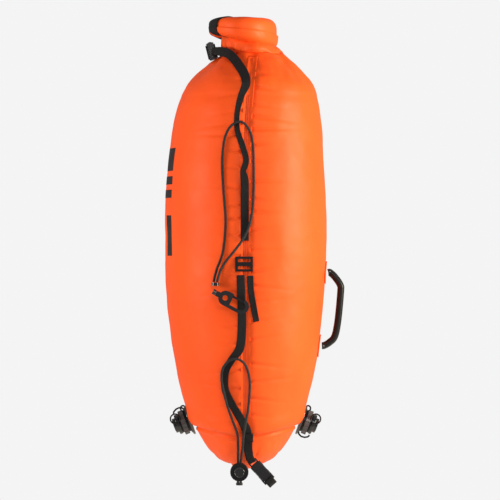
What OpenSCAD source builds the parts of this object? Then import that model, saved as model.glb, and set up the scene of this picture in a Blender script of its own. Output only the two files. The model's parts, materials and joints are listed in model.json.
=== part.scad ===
// Inflatable open-water swim buoy with a roll-top dry bag, upright, roll at the top.
// x: left lobe (-) to right lobe (+, handle side).  y: near side seam (-) to far side seam (+).
// z: up, zero at the hanging point in the middle of the roll.  Millimetres.

/* [Bag] */
// Thickness of the inflated bag, left lobe to right lobe
body_thickness = 242; // [200:1:290]
// Width of the inflated bag, side seam to side seam
body_width = 300; // [240:1:360]
// Height from the neck to the tip
body_height = 615; // [500:1:740]
// Thickness of the coated fabric
skin = 1.2; // [0.8:0.1:2]
// Thickness of the open dry compartment at its middle
dry_gap = 22; // [12:1:40]
// Thickness of the neck under the roll
neck_thickness = 88; // [74:1:106]
// Width of the neck under the roll
neck_width = 160; // [134:1:192]
// How far the neck leans to the right
neck_lean = 12; // [0:1:14]

/* [Roll] */
// Thickness of the rolled mouth
roll_thickness = 40; // [33:1:44]
// Height of the roll over the middle of the neck
roll_height = 36; // [30:1:42]

/* [Valves] */
// Diameter of the welded valve flange
flange_d = 45; // [40:1:54]
// Diameter of the grey locking ring
ring_d = 37; // [35:1:44]
// Diameter of the valve body under the ring
seat_d = 28; // [26:1:30]
// Diameter of the air port
port_d = 18; // [14:1:20]
// Diameter of the valve cap
cap_d = 30; // [24:1:34]
// Downward tilt of the valve axis, degrees
valve_tilt = 21; // [15:1:25]

/* [Handle] */
// Height of the handle between its feet
handle_height = 110; // [92:1:132]
// Finger space between the handle and the bag
handle_reach = 24; // [20:1:32]
// Thickness of the grip seen from the side
grip_t = 10.5; // [8:0.5:13]
// Breadth of the grip
grip_w = 22; // [18:1:27]

/* [Webbing and cord] */
// Width of the black webbing
web_w = 14; // [12:0.5:17]
// Thickness of the black webbing
web_t = 1.4; // [1:0.1:2]
// Diameter of the black cord
cord_d = 3.8; // [3:0.1:4.4]

/* [Plastic hardware] */
// Diameter of the cord lock barrel
lock_d = 26; // [24:1:31]
// Diameter of the cord lock button
button_d = 16; // [14.5:0.5:17]
// Travel of the cord lock button
button_travel = 4; // [3:0.5:4.5]
// Length of the snap hook
hook_len = 52; // [46:1:60]
// Thickness of the snap hook
hook_t = 6; // [5:0.5:7]

/* [Hidden] */
$fn = 48;

// The neck height, and scale factors that carry the hand-chosen points to other sizes
neck_z = -48;
kx = body_thickness / 242;
kz = body_height / 615;
kn = neck_width / 160;
kt = neck_thickness / 88;
tip_z = neck_z - body_height;
tip_t = 44 * kx;
tip_w = .42 * body_width;
belly = .41;
shoulder = .10;
sq = 2.2;
x0 = .5;
seat_gap = .3;
fit = .05;

function r01(v) = max(0, min(1, v));
function uu(z) = (neck_z - z) / body_height;
function zk(z) = z > neck_z ? z : neck_z + (z - neck_z) * kz;
function low(u, p, q) = pow(max(0, 1 - pow(r01((u - belly) / (1 - belly)), p)), q);
function mid(u, k) = 1 - k * pow(r01((belly - u) / (belly - shoulder)), 2);
function top(u) = 1 - pow(r01((shoulder - u) / shoulder), 1.4);
function prof(u, full, k, neck, tip, q) =
  u > belly ? tip / 2 + (full - tip) / 2 * low(u, 2.4, q)
  : u > shoulder ? full / 2 * mid(u, k)
  : neck / 2 + ((1 - k) * full / 2 - neck / 2) * top(u);
function ht(z) = prof(uu(z), body_thickness, .145, neck_thickness, tip_t, .526);
function hw(z) = prof(uu(z), body_width, .12, neck_width, tip_w, .6);
function cx(z) = neck_lean * pow(r01((belly - uu(z)) / belly), 3);
function ys(x, z) = hw(z) * pow(max(0, 1 - pow(min(1, abs(x - cx(z)) / ht(z)), sq)), 1 / sq);
function xs(y, z) = ht(z) * pow(max(0, 1 - pow(min(1, abs(y) / hw(z)), sq)), 1 / sq);
function se(a) = [pow(max(0, cos(a)), 2 / sq), sign(sin(a)) * pow(abs(sin(a)), 2 / sq)];
function unit(v) = v / max(1e-6, norm(v));
// A point on the near face: x, z and how far it stands off the fabric
function on(p) = [p[0] * kx, -(ys(p[0] * kx, zk(p[1])) + p[2]), zk(p[1])];

// Closed polyhedron from rows of rings; every ring has the same number of points
function det(a, b, c) = a * cross(b, c);
function ones(n) = [for (i = [1:n]) 1];
function vol(r) =
  let (n = len(r[0]), m = len(r))
  let (v = [for (i = [0:m - 2]) for (j = [0:n - 1]) let (k = (j + 1) % n)
    det(r[i][j], r[i + 1][j], r[i][k]) + det(r[i][k], r[i + 1][j], r[i + 1][k])])
  let (w = [for (j = [1:n - 2])
    det(r[0][0], r[0][j], r[0][j + 1]) - det(r[m - 1][0], r[m - 1][j], r[m - 1][j + 1])])
  v * ones(len(v)) + w * ones(len(w));
module loft(input) {
  n = len(input[0]);
  m = len(input);
  rings = vol(input) > 0 ? [for (r = input) [for (j = [n - 1:-1:0]) r[j]]] : input;
  polyhedron(
    points = [for (r = rings) for (p = r) p],
    faces = concat(
      [[for (j = [0:n - 1]) j]],
      [for (i = [0:m - 2]) for (j = [0:n - 1]) for (k = [0, 1])
        let (a = i * n + j, b = i * n + (j + 1) % n)
        k == 0 ? [a, a + n, b] : [b, a + n, b + n]],
      [[for (j = [n - 1:-1:0]) (m - 1) * n + j]]
    )
  );
}
// Catmull-Rom points
function cr(a, b, c, d, t) = .5 * (2 * b + (c - a) * t + (2 * a - 5 * b + 4 * c - d) * t * t
  + (3 * b - a - 3 * c + d) * t * t * t);
function smooth(p, s) = concat(
  [for (i = [0:len(p) - 2]) for (k = [0:s - 1])
    cr(p[max(0, i - 1)], p[i], p[i + 1], p[min(len(p) - 1, i + 2)], k / s)],
  [p[len(p) - 1]]);
function tan_at(p, i) = unit(p[min(len(p) - 1, i + 1)] - p[max(0, i - 1)]);
function perp(v, t) = unit(v - t * (v * t));
// Tube along points; up is a direction that is never along the tube
module tube(p, r, n, up = [0, -1, 0]) {
  loft([for (i = [0:len(p) - 1])
    let (t = tan_at(p, i), u = perp(up, t), s = cross(t, u))
    [for (j = [0:n - 1]) p[i] + r * (cos(360 * j / n) * s + sin(360 * j / n) * u)]]);
}
// Flat strap along points [x, y, z, width], with its face turned to direction up
module ribbon(p, t, up = [0, -1, 0]) {
  q = [for (v = p) [v[0], v[1], v[2]]];
  loft([for (i = [0:len(q) - 1])
    let (d = tan_at(q, i), u = perp(up, d), s = cross(d, u), w = p[i][3] / 2)
    [q[i] - w * s, q[i] + w * s, q[i] + w * s + t * u, q[i] - w * s + t * u]]);
}
function on4(p) = concat(on(p), [p[3]]);

// ---- panels -------------------------------------------------------------
rows_n = 34;
cols_n = 20;
end_u = .985;
function row_z(i, n) = neck_z - body_height * end_u * (1 - cos(180 * i / n)) / 2;
function half_line(side, z, in) = [for (j = [0:cols_n])
  let (e = se(-90 + 180 * j / cols_n))
  [cx(z) + side * (x0 + (ht(z) - x0 - in) * e[0]), (hw(z) - in) * e[1], z]];
module outer_panel(side) {
  a = half_line(1, 0, 0);
  loft([for (i = side > 0 ? [0:rows_n] : [rows_n:-1:0])
    let (z = row_z(i, rows_n), o = half_line(side, z, 0), q = half_line(side, z, skin))
    concat(o, [for (j = [cols_n:-1:0]) q[j]])]);
}
// The inner panels part at the middle for the dry compartment and meet the outer ones at the neck
in_rows = 20;
in_cols = 10;
function in_x(y, z, w) =
  let (b = r01((z - zk(-150)) / (zk(-62) - zk(-150))), s = b * b * (3 - 2 * b))
  let (c = r01((zk(-560) - z) / (zk(-560) - zk(-640))))
  let (deep = dry_gap / 2 * (1 - .8 * c) * (1 - s) + s * (ht(z) - 6))
  x0 + deep * (1 - pow(min(1, abs(y) / w), 2));
function in_line(side, z, off) =
  let (w = hw(z) - skin - .5)
  [for (j = [0:in_cols])
    let (y = w * sin(-90 + 180 * j / in_cols))
    [cx(z) + side * (in_x(y, z, w) + off), y, z]];
module inner_panel(side) {
  zt = zk(-58);
  zb = zk(-640);
  loft([for (i = side > 0 ? [0:in_rows] : [in_rows:-1:0])
    let (z = zt + (zb - zt) * i / in_rows)
    let (o = in_line(side, z, skin), q = in_line(side, z, 0))
    concat(o, [for (j = [in_cols:-1:0]) q[j]])]);
}
module seam_tape(side) {
  n = 26;
  hwid = 7;
  xx = [-1, -.4, .4, 1];
  loft([for (i = side < 0 ? [0:n] : [n:-1:0])
    let (z = zk(-54 - 598 * (1 - cos(180 * i / n)) / 2))
    concat(
      [for (a = xx) [cx(z) + hwid * a, side * (ys(cx(z) + hwid * a, z) + seat_gap + 1.2), z]],
      [for (k = [3:-1:0]) let (a = xx[k])
        [cx(z) + hwid * a, side * (ys(cx(z) + hwid * a, z) + seat_gap + .3), z]])]);
}
module bottom_weld() {
  n = 40;
  z1 = neck_z - end_u * body_height - seat_gap;
  loft([for (i = [0:4])
    let (z = z1 + (tip_z + .5 - z1) * i / 4)
    [for (j = [0:n - 1]) let (a = 360 * j / n)
      [ht(z) * sign(cos(a)) * pow(abs(cos(a)), 2 / sq), hw(z) * sign(sin(a)) * pow(abs(sin(a)), 2 / sq), z]]]);
}

// ---- neck and roll ------------------------------------------------------
rx = neck_thickness / 2 - 11;
ry = neck_width / 2 - 10;
rcx = -4;
roll_lo = 6 - roll_height;
function under(x) = roll_lo - .22 * (x - rcx);
function ringpt(hx, hy, c, n, f) = [for (j = [0:n - 1])
  let (a = 360 * j / n, x = c + hx * sign(cos(a)) * pow(abs(cos(a)), 2 / sq))
  [x, hy * sign(sin(a)) * pow(abs(sin(a)), 2 / sq), f == 0 ? neck_z + seat_gap : 0]];
// The top of the collar follows the sloping underside of the roll
function lift(r, k, drop) = [for (p = r)
  [p[0], p[1], (1 - k) * (neck_z + seat_gap) + k * (under(p[0]) - .7 - drop)]];
module neck_collar() {
  n = 40;
  a = ringpt(neck_thickness / 2, neck_width / 2, neck_lean, n, 1);
  b = ringpt(neck_thickness / 2 - .5, neck_width / 2 - 1, neck_lean * .8, n, 1);
  c = ringpt(neck_thickness / 2 - 5, neck_width / 2 - 6, neck_lean * .4, n, 1);
  d = ringpt(neck_thickness / 2 - 20, neck_width / 2 - 28, neck_lean * .2, n, 1);
  i1 = ringpt(neck_thickness / 2 - 2.4, neck_width / 2 - 2.4, neck_lean, n, 1);
  i2 = ringpt(neck_thickness / 2 - 8, neck_width / 2 - 9, neck_lean * .5, n, 1);
  i3 = ringpt(neck_thickness / 2 - 22, neck_width / 2 - 30, neck_lean * .2, n, 1);
  loft([lift(i3, 1, 2), lift(i2, .85, 2), lift(i1, 0, 0),
    lift(a, 0, 0), lift(b, .6, 0), lift(c, 1, 0), lift(d, 1, 0)]);
}
function roll_c(a) = let (x = rcx + rx * cos(a)) [x, ry * sin(a), (6 + under(x)) / 2];
module roll_top() {
  n = 14;
  m = 40;
  e = 158;
  loft([for (i = [-2:m + 2])
    let (k = min(m, max(0, i)), a = -e + 2 * e * k / m, c = roll_c(a))
    let (d = unit([-rx * sin(a), ry * cos(a), 0]), s = [d[1], -d[0], 0])
    let (f = i < 0 || i > m ? (abs(i - m / 2) == m / 2 + 2 ? .55 : .85) : 1)
    let (g = i < 0 ? i * 2.5 : i > m ? (i - m) * 2.5 : 0)
    let (h = (6 - under(c[0])) / 2)
    [for (j = [0:n - 1]) let (b = 360 * j / n)
      c + d * g + f * (roll_thickness / 2 * cos(b) * s + h * sin(b) * [0, 0, 1])]]);
}
// Stiff black webbing round each rolled end, coming down to the buckle
module mouth_webbing(side) {
  a = 150;
  c = roll_c(a);
  h = (6 - under(c[0])) / 2 + .4;
  w = roll_thickness / 2 + .4;
  d = unit([-rx * sin(a), ry * cos(a), 0]);
  s = [d[1], -d[0], 0];
  n = 14;
  arc = [for (j = [0:n]) let (b = 60 + 200 * j / n)
    [c[0] + w * cos(b) * s[0] * -1, c[1] + w * cos(b) * s[1] * -1, c[2] + h * sin(b)]];
  mirror([0, side > 0 ? 0 : 1, 0])
    loft([for (p = arc)
      let (o = unit(p - c))
      [p - d * 8, p + d * 8, p + d * 8 + o * web_t, p - d * 8 + o * web_t]]);
}

// ---- buckles ------------------------------------------------------------
// Socket along +z from 0, mouth at z = len; plug enters from the mouth
module socket(w, t, len) {
  wall = 2;
  difference() {
    union() {
      translate([-w / 2 + 2, -t / 2, 0])
        cube([w - 4, t, len]);
      for (s = [-1, 1])
        translate([s * (w / 2 - t / 2), 0, 0])
          cylinder(d = t, h = len);
      translate([-w / 2 + 2, -t / 2 + 1.5, -7])
        cube([w - 4, t - 3, 7.01]);
    }
    translate([-w / 2 + 3, -t / 2 + wall, 4])
      cube([w - 6, t - 2 * wall, len]);
    translate([-w / 2 - 1, -t / 2 + wall + .5, 9])
      cube([w + 2, t - 2 * wall - 1, 9]);
    translate([-w / 2 + 4, -t / 2 - 1, -4.5])
      cube([w - 8, t + 2, 3]);
  }
}
module plug(w, t, len) {
  wall = 2;
  g = .25;
  th = t - 2 * wall - 2 * g;
  difference() {
    union() {
      translate([-w / 2, -t / 2, len + g])
        cube([w, t, 9]);
      for (s = [-1, 1])
        translate([s * (w / 2 - 3 - g - 1.6) - 1.6, -th / 2, 8])
          cube([3.2, th, len + g - 7.9]);
      translate([-1.75, -th / 2, 6])
        cube([3.5, th, len + g - 5.9]);
    }
    translate([-w / 2 + 2, -t / 2 - 1, len + g + 4])
      cube([w - 4, t + 2, 3]);
  }
  for (s = [-1, 1])
    translate([s * (w / 2 - 3 - g - 1.85), 0, 13])
      rotate([90, 0, 0])
        cylinder(d = 3.6, h = th - 1.2, center = true);
}
// Short webbing loop held in the crossbar of a plug
module plug_loop(w, t, len) {
  g = .25;
  difference() {
    translate([-w / 2 + 2.3, -t / 2 - 1.7, len + g + 4.3])
      cube([w - 4.6, t + 3.4, 12]);
    translate([-w / 2, -t / 2 - .3, len + g])
      cube([w, t + .6, 9.3]);
    translate([-w / 2, -1.3, len + g + 9.2])
      cube([w, 2.6, 5.5]);
  }
  translate([-w / 2 + 2.3, -t / 2 - .4, len + g + 4.3])
    cube([w - 4.6, t + .8, 2.4]);
}
bk_w = 26;
bk_t = 11;
bk_l = 28;
wb_w = 18;
wb_t = 9;
wb_l = 24;
module roll_buckle_at() {
  translate([-50 * kt - 1, -bk_l / 2 - 2, -43])
    rotate([-90, 0, 0])
      rotate([0, 0, 76])
        children();
}
waist_at = on([1, -650, 7]);
module waist_buckle_at() {
  translate([14 * kx, waist_at[1], tip_z + 5])
    rotate([0, 138, 0])
      children();
}

// ---- valves -------------------------------------------------------------
valve_z = zk(-596);
module valve_at(side) {
  translate([side * (ht(valve_z) + seat_gap), 0, valve_z])
    rotate([0, side * (90 + valve_tilt), 0])
      children();
}
module valve_flange() {
  difference() {
    cylinder(d = flange_d, h = 2.4);
    translate([0, 0, -1])
      cylinder(d = seat_d + 2 * fit, h = 5);
  }
}
module valve_seat() {
  difference() {
    union() {
      translate([0, 0, .3])
        cylinder(d = seat_d, h = 16.7);
      translate([0, 0, 2.6])
        cylinder(d = seat_d + 4, h = 4.4);
    }
    translate([0, 0, -4])
      cylinder(d = port_d, h = 22);
  }
}
module valve_ring() {
  translate([0, 0, 7.4])
    difference() {
      cylinder(d = ring_d, h = 7);
      translate([0, 0, -1])
        cylinder(d = seat_d + 2 * fit, h = 9);
      for (k = [0:15])
        rotate([0, 0, 22.5 * k])
          translate([ring_d / 2 + .6, 0, -1])
            cylinder(d = 3, h = 9, $fn = 16);
    }
}
module valve_cap() {
  translate([0, 0, 17.3])
    cylinder(d = cap_d, h = 4);
  translate([0, 0, 21.2])
    cylinder(d = cap_d - 8, h = 5);
  translate([0, 0, 9])
    cylinder(d = port_d - 2 * fit, h = 8.5);
  translate([-2.5, -cap_d / 2 - 3, 18])
    cube([5, 6, 2.6]);
}
// The tether: a loop round the seat under the ring, and an ear that stands out below
module valve_tether() {
  difference() {
    translate([0, 0, 2.6])
      cylinder(d = seat_d + 9, h = 1.8);
    translate([0, 0, 2])
      cylinder(d = seat_d + 4.6, h = 3);
  }
  tube([[seat_d / 2 + 3.4, 0, 3.5], [seat_d / 2 + 7, 0, 5.5], [seat_d / 2 + 9, 0, 10],
    [seat_d / 2 + 8.5, 0, 15], [seat_d / 2 + 6, 0, 19.5], [seat_d / 2 + 2.6, 0, 21]], 1.3, 8, [0, 1, 0]);
}
module valve_flap() {
  translate([0, 0, .4])
    cylinder(d = port_d - .6, h = 1);
  translate([0, 0, 1.3])
    cylinder(d = 4, h = 6);
}

// ---- handle -------------------------------------------------------------
hz1 = zk(-430) + handle_height / 2;
hz2 = zk(-430) - handle_height / 2;
hx1 = ht(hz1) + cx(hz1);
hx2 = ht(hz2);
hr = handle_reach;
hh = handle_height;
grip_path = smooth([[hx1 + 4.4, 0, hz1], [hx1 + 7, 0, hz1 - .2], [hx1 + .58 * hr, 0, hz1 - .06 * hh], [hx1 + .92 * hr, 0, hz1 - .17 * hh],
  [hx1 + .95 * hr, 0, hz1 - .27 * hh], [hx1 + .78 * hr, 0, hz1 - .66 * hh],
  [hx1 + .58 * hr, 0, hz1 - .87 * hh], [hx1 + .27 * hr, 0, hz1 - .95 * hh],
  [hx2 + 8, 0, hz2 + .5], [hx2 + 4.5, 0, hz2]], 4);
module handle_grip() {
  n = 12;
  m = len(grip_path) - 1;
  loft([for (i = [0:m])
    let (t = tan_at(grip_path, i), u = [0, 1, 0], s = cross(t, u))
    let (k = min(i, m - i) / 4, f = 1 + .35 * max(0, 1 - k))
    [for (j = [0:n - 1]) let (e = [cos(360 * j / n), sin(360 * j / n)])
      grip_path[i] + f * grip_w / 2 * sign(e[1]) * pow(abs(e[1]), .75) * u
        + grip_t / 2 * sign(e[0]) * pow(abs(e[0]), .75) * s]]);
}
// Welded patch that wraps over the fabric under a handle foot
module patch(zc) {
  n = 8;
  a = 26;
  b = 17;
  loft([for (i = [-n:n])
    let (z = zc + b * sin(90 * i / n), w = a * max(.25, cos(90 * i / n * .86)))
    concat(
      [for (k = [-4:4]) let (y = w * k / 4) [cx(z) + x0 + xs(y, z) + seat_gap + 1.6, y, z]],
      [for (k = [4:-1:-4]) let (y = w * k / 4) [cx(z) + x0 + xs(y, z) + seat_gap, y, z]])]);
}

// ---- webbing and cords on the near seam ---------------------------------
up_web = concat(
  [for (p = [[-49, -25.5, -44, 9], [-44, -40, -45, 12], [-35, -60, -47, 14], [-25, -78, -51, 14]])
    [p[0] * kt, p[1] * kn - 0, p[2], web_w * p[3] / 14]],
  [for (p = [[-16, -60, 4, 14], [-9, -70, 3, 14], [-2, -82, 3, 14], [1, -97, 3, 13], [-6, -115, 3, 10],
    [-12, -140, 3, 8], [-12, -165, 3, 8], [-4, -190, 3, 9], [1, -210, 3, 9], [-3, -226, 3, 9],
    [-1, -242, 3, 12], [-1, -285, 2.4, 12], [-1, -328, 1.8, 12]])
    on4([p[0], p[1], p[2], web_w * p[3] / 14])]);
low_web = [for (p = [[-7, -378, 3, 12], [-6, -412, 2.6, 12], [-5, -450, 2.6, 13], [-8, -484, 2.6, 13],
  [-20, -502, 3, 11], [-29, -519, 3, 11], [-30, -545, 3, 11], [-20, -568, 3, 11], [-8, -588, 3, 12],
  [1, -606, 3, 14], [3, -622, 3, 14], [4, -636, 4, 13], [6, -647, 8.2, 12], [9, -653, 14.2, 12],
  [10.5, -656, 18.1, 12]])
  on4([p[0], p[1], p[2], web_w * p[3] / 14])];
loose_web = [for (p = [[7, -379, 2, 9], [8, -400, 2.6, 9], [12, -424, 3, 9], [16, -446, 3, 9]])
  on4([p[0], p[1], p[2], web_w * p[3] / 14])];
co = cord_d / 2;
up_pts = [for (p = [[-46.5, -388, 7], [-42, -370, 4], [-33, -344, 1], [-29, -301, .6], [-32, -256, .6],
  [-34, -219, .6], [-33, -196, 1], [-30, -177, 2], [-23, -162, 4.4], [-12, -154, 5], [-2, -156, 4.8],
  [7, -169, 3], [11, -189, 2], [12, -219, 2], [12, -256, 2], [10, -285, 2.6], [5, -308, 4],
  [-4, -326, 4.4], [-14, -340, 4], [-27, -356, 5], [-36, -370, 6], [-41.5, -388, 7]])
  on([p[0], p[1], p[2] + co])];
lock_c = [-9 * kx, -(hw(zk(-652)) + 17), tip_z - 6];
lx = lock_c[0];
ly = lock_c[1];
lz = lock_c[2];
ls = cord_d / 2 + .15;
low_pts = concat(
  [[lx - ls, ly, lz - lock_d / 2 - 1.5], [lx - ls, ly, lz - 6], [lx - ls, ly, lz + 6],
    [lx - ls, ly, lz + lock_d / 2 + 1.5]],
  [for (p = [[-11, -630, 9.5], [-12, -612, 9], [-19, -592, 7.4], [-26, -572, 6.8], [-32, -549, 6.6], [-35, -531, 6.6],
    [-33, -515, 6.6], [-23, -503, 6.8], [-9, -502, 6.8], [1, -512, 6], [6, -531, 2], [6, -552, 2],
    [4, -575, 5.4], [0, -598, 8], [-3, -616, 9], [-4, -630, 9.5]])
    on([p[0], p[1], p[2] + co])],
  [[lx + ls, ly, lz + lock_d / 2 + 1.5], [lx + ls, ly, lz + 6], [lx + ls, ly, lz - 6],
    [lx + ls, ly, lz - lock_d / 2 - 1.5]]);
module strap_slider() {
  c = on([-2, -362, 2.6]);
  translate([c[0], c[1] - 1.6, c[2]])
    rotate([90, 0, 0])
      difference() {
        translate([-13, -11, -1.6])
          cube([26, 22, 3.2]);
        for (s = [-1, 1])
          translate([-9, s * 5.2 - 2.2, -3])
            cube([18, 4.4, 6]);
      }
}
module stitched_tab() {
  p = [for (v = [[3.5, -612, 5.4, 16], [3.5, -618, 5.4, 16], [3.5, -624, 5.6, 16]]) on4(v)];
  ribbon(p, 1.4);
}
// ---- snap hook ----------------------------------------------------------
hook_c = on([-19, -417, 8]);
module hook_at() {
  translate([hook_c[0], hook_c[1], hook_c[2]])
    rotate([90, 0, 0])
      rotate([0, 0, 332])
        children();
}
hl = hook_len / 2;
hook_r = 11;
eye_r = 4;
module hook_body() {
  difference() {
    union() {
      translate([hl - hook_r, 0, 0])
        cylinder(r = hook_r, h = hook_t);
      translate([-hl + 15, -hook_r, 0])
        cube([hook_len - hook_r - 15, 2 * hook_r, hook_t]);
      translate([-hl + 15, 0, 0])
        cylinder(r = hook_r, h = hook_t);
      translate([-hl - 1, -4, 0])
        cube([8, 8, hook_t]);
    }
    translate([hl - hook_r, 0, -1])
      cylinder(r = hook_r - 5, h = hook_t + 2);
    translate([-2, -hook_r + 5, -1])
      cube([hook_len / 2 - hook_r + 2, 2 * hook_r - 10, hook_t + 2]);
    translate([-2.5, 4, -1])
      cube([hl - hook_r + 2.5, 10, hook_t + 2]);
    translate([-hl + 14, 0, -1])
      cylinder(r = eye_r, h = hook_t + 2);
    translate([-5, 7, 1.4])
      cylinder(r = 4.3, h = hook_t - 2.8);
    translate([-hl - 2, 0, hook_t / 2])
      rotate([0, 90, 0])
        cylinder(r = 1.6 + fit, h = 8);
  }
  translate([-5, 7, .5])
    cylinder(r = 1.5, h = hook_t - 1);
}
module hook_gate() {
  translate([0, 0, 0])
    difference() {
      union() {
        translate([-5, 7, 1.5])
          cylinder(r = 3.6, h = hook_t - 3);
        translate([-5, 5.4, 1.5])
          cube([hl - hook_r + 4.2, 3.2, hook_t - 3]);
      }
      translate([-5, 7, -1])
        cylinder(r = 1.5 + fit, h = hook_t + 2);
    }
}
module hook_swivel() {
  translate([-hl - 1.4, 0, hook_t / 2])
    rotate([0, -90, 0])
      cylinder(r = 4, h = 5);
  translate([-hl + 3, 0, hook_t / 2])
    rotate([0, -90, 0])
      cylinder(r = 1.6, h = 5);
}

// ---- cord lock: axis along -y, button facing the viewer ------------------
module lock_at() {
  translate(lock_c)
    rotate([90, 0, 0])
      children();
}
lock_h = 24;
hole_w = 2 * cord_d + 1.2;
module lock_barrel() {
  difference() {
    translate([0, 0, -lock_h / 2])
      cylinder(d = lock_d, h = lock_h);
    translate([0, 0, -lock_h / 2 + 2])
      cylinder(d = button_d + 2 * fit, h = lock_h);
    translate([-hole_w / 2, -lock_d, -co - 3.2])
      cube([hole_w, 2 * lock_d, 2 * co + 3.4]);
  }
}
module lock_button() {
  difference() {
    translate([0, 0, -co - 3])
      cylinder(d = button_d, h = lock_h / 2 + 4 + co + 3);
    translate([-hole_w / 2, -lock_d, -co - .2])
      cube([hole_w, 2 * lock_d, 2 * co + .6 + button_travel]);
  }
}
module lock_spring() {
  z0 = -lock_h / 2 + 2.2;
  z1 = -co - 3.2;
  n = 40;
  tube([for (i = [0:n]) let (a = 360 * 3 * i / n)
    [5 * cos(a), 5 * sin(a), z0 + .5 + (z1 - z0 - 1) * i / n]], .45, 6, [0, 0, 1]);
}
module end_knot() {
  for (s = [-1, 1])
    translate([lx + s * ls, ly, lz - lock_d / 2 - 1.7])
      mirror([0, 0, 1])
        cylinder(d = cord_d - .1, h = 1);
  translate([lx, ly, lz - lock_d / 2 - 4.6])
    intersection() {
      sphere(r = 5, $fn = 24);
      cube([14, 14, 4], center = true);
    }
}

// ---- nodes --------------------------------------------------------------
module left_outer_panel() {
  color("orangered") outer_panel(-1);
}
module right_outer_panel() {
  color("darkorange") outer_panel(1);
}
module left_inner_panel() {
  color("orange") inner_panel(-1);
}
module right_inner_panel() {
  color("orange") inner_panel(1);
}
module near_seam_tape() {
  color("tomato") seam_tape(-1);
}
module far_seam_tape() {
  color("tomato") mirror([0, 1, 0]) seam_tape(-1);
}
left_outer_panel();
right_outer_panel();
left_inner_panel();
right_inner_panel();
near_seam_tape();
far_seam_tape();
color("orangered") bottom_weld();
color("orange") neck_collar();
color("darkorange") roll_top();
color("black") mouth_webbing(-1);  // near_mouth_webbing
color("black") mouth_webbing(1);  // far_mouth_webbing
color("black") roll_buckle_at() socket(bk_w, bk_t, bk_l);  // roll_buckle_socket
color("dimgray") roll_buckle_at() plug(bk_w, bk_t, bk_l);  // roll_buckle_plug
color("black") roll_buckle_at() plug_loop(bk_w, bk_t, bk_l);  // roll_plug_loop
color("dimgray") valve_at(-1) valve_flange();  // left_valve_flange
color("black") valve_at(-1) valve_seat();  // left_valve_seat
color("gray") valve_at(-1) valve_ring();  // left_valve_ring
color("black") valve_at(-1) valve_cap();  // left_valve_cap
color("black") valve_at(-1) valve_tether();  // left_cap_tether
color("dimgray") valve_at(-1) valve_flap();  // left_valve_flap
color("dimgray") valve_at(1) valve_flange();  // right_valve_flange
color("black") valve_at(1) valve_seat();  // right_valve_seat
color("gray") valve_at(1) valve_ring();  // right_valve_ring
color("black") valve_at(1) valve_cap();  // right_valve_cap
color("black") valve_at(1) valve_tether();  // right_cap_tether
color("dimgray") valve_at(1) valve_flap();  // right_valve_flap
color("black") handle_grip();
color("dimgray") patch(hz1);  // handle_top_patch
color("dimgray") patch(hz2);  // handle_bottom_patch
color("black") ribbon(up_web, web_t);  // upper_webbing
color("black") ribbon(low_web, web_t);  // lower_webbing
color("black") ribbon(loose_web, web_t);  // loose_webbing_end
color("dimgray") strap_slider();
color("dimgray") stitched_tab();
color("black") tube(smooth(up_pts, 3), co, 8);  // upper_cord
module cord_ferrule() {
  c = on([-44, -388, 7 + co]);
  color("dimgray")
    translate([c[0], c[1], c[2] - .8])
      mirror([0, 0, 1])
        cylinder(r = 5.4, h = 5);
}
cord_ferrule();
color("gray") hook_at() hook_swivel();
color("black") hook_at() hook_body();
color("gray") hook_at() hook_gate();
color("black") tube(smooth(low_pts, 3), co, 8, [0, -1, .001]);  // lower_cord
color("black") lock_at() lock_barrel();  // cord_lock_barrel
color("dimgray") lock_at() lock_button();  // cord_lock_button
color("silver") lock_at() lock_spring();  // cord_lock_spring
color("black") end_knot();  // cord_end_knot
color("black") waist_buckle_at() socket(wb_w, wb_t, wb_l);  // waist_buckle_socket
color("dimgray") waist_buckle_at() plug(wb_w, wb_t, wb_l);  // waist_buckle_plug
color("black") waist_buckle_at() plug_loop(wb_w, wb_t, wb_l);  // waist_plug_loop
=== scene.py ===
"""Looks of the inflatable swim buoy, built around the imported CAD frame.

Shapes are worked out in millimetres and turned into metres when a piece is made.
"""

import json
import math
import random

import bmesh
import bpy
from mathutils import Matrix, Vector, noise


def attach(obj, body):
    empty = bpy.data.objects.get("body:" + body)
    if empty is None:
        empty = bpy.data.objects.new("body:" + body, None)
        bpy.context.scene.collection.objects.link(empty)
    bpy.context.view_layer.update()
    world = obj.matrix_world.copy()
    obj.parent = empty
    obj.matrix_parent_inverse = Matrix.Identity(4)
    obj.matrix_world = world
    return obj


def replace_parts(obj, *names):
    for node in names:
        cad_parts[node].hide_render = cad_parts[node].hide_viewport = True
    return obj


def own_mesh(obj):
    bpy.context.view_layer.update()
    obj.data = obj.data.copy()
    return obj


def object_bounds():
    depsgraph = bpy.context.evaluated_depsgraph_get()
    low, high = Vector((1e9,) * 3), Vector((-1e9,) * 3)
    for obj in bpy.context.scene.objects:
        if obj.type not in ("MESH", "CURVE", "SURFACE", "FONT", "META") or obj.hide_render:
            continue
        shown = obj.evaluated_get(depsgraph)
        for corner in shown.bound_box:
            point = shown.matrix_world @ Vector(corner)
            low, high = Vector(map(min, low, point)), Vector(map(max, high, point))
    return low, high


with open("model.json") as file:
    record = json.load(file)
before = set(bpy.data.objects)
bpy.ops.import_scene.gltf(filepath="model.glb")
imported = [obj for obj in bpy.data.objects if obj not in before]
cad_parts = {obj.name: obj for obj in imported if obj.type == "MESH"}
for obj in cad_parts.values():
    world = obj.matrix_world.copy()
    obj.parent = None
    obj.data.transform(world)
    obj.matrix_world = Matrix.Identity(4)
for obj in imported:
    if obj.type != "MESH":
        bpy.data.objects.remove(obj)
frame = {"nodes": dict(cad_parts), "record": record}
CAD_LO, CAD_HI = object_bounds()
MM = 0.001
BAG = "bag"
random.seed(7)

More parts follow.
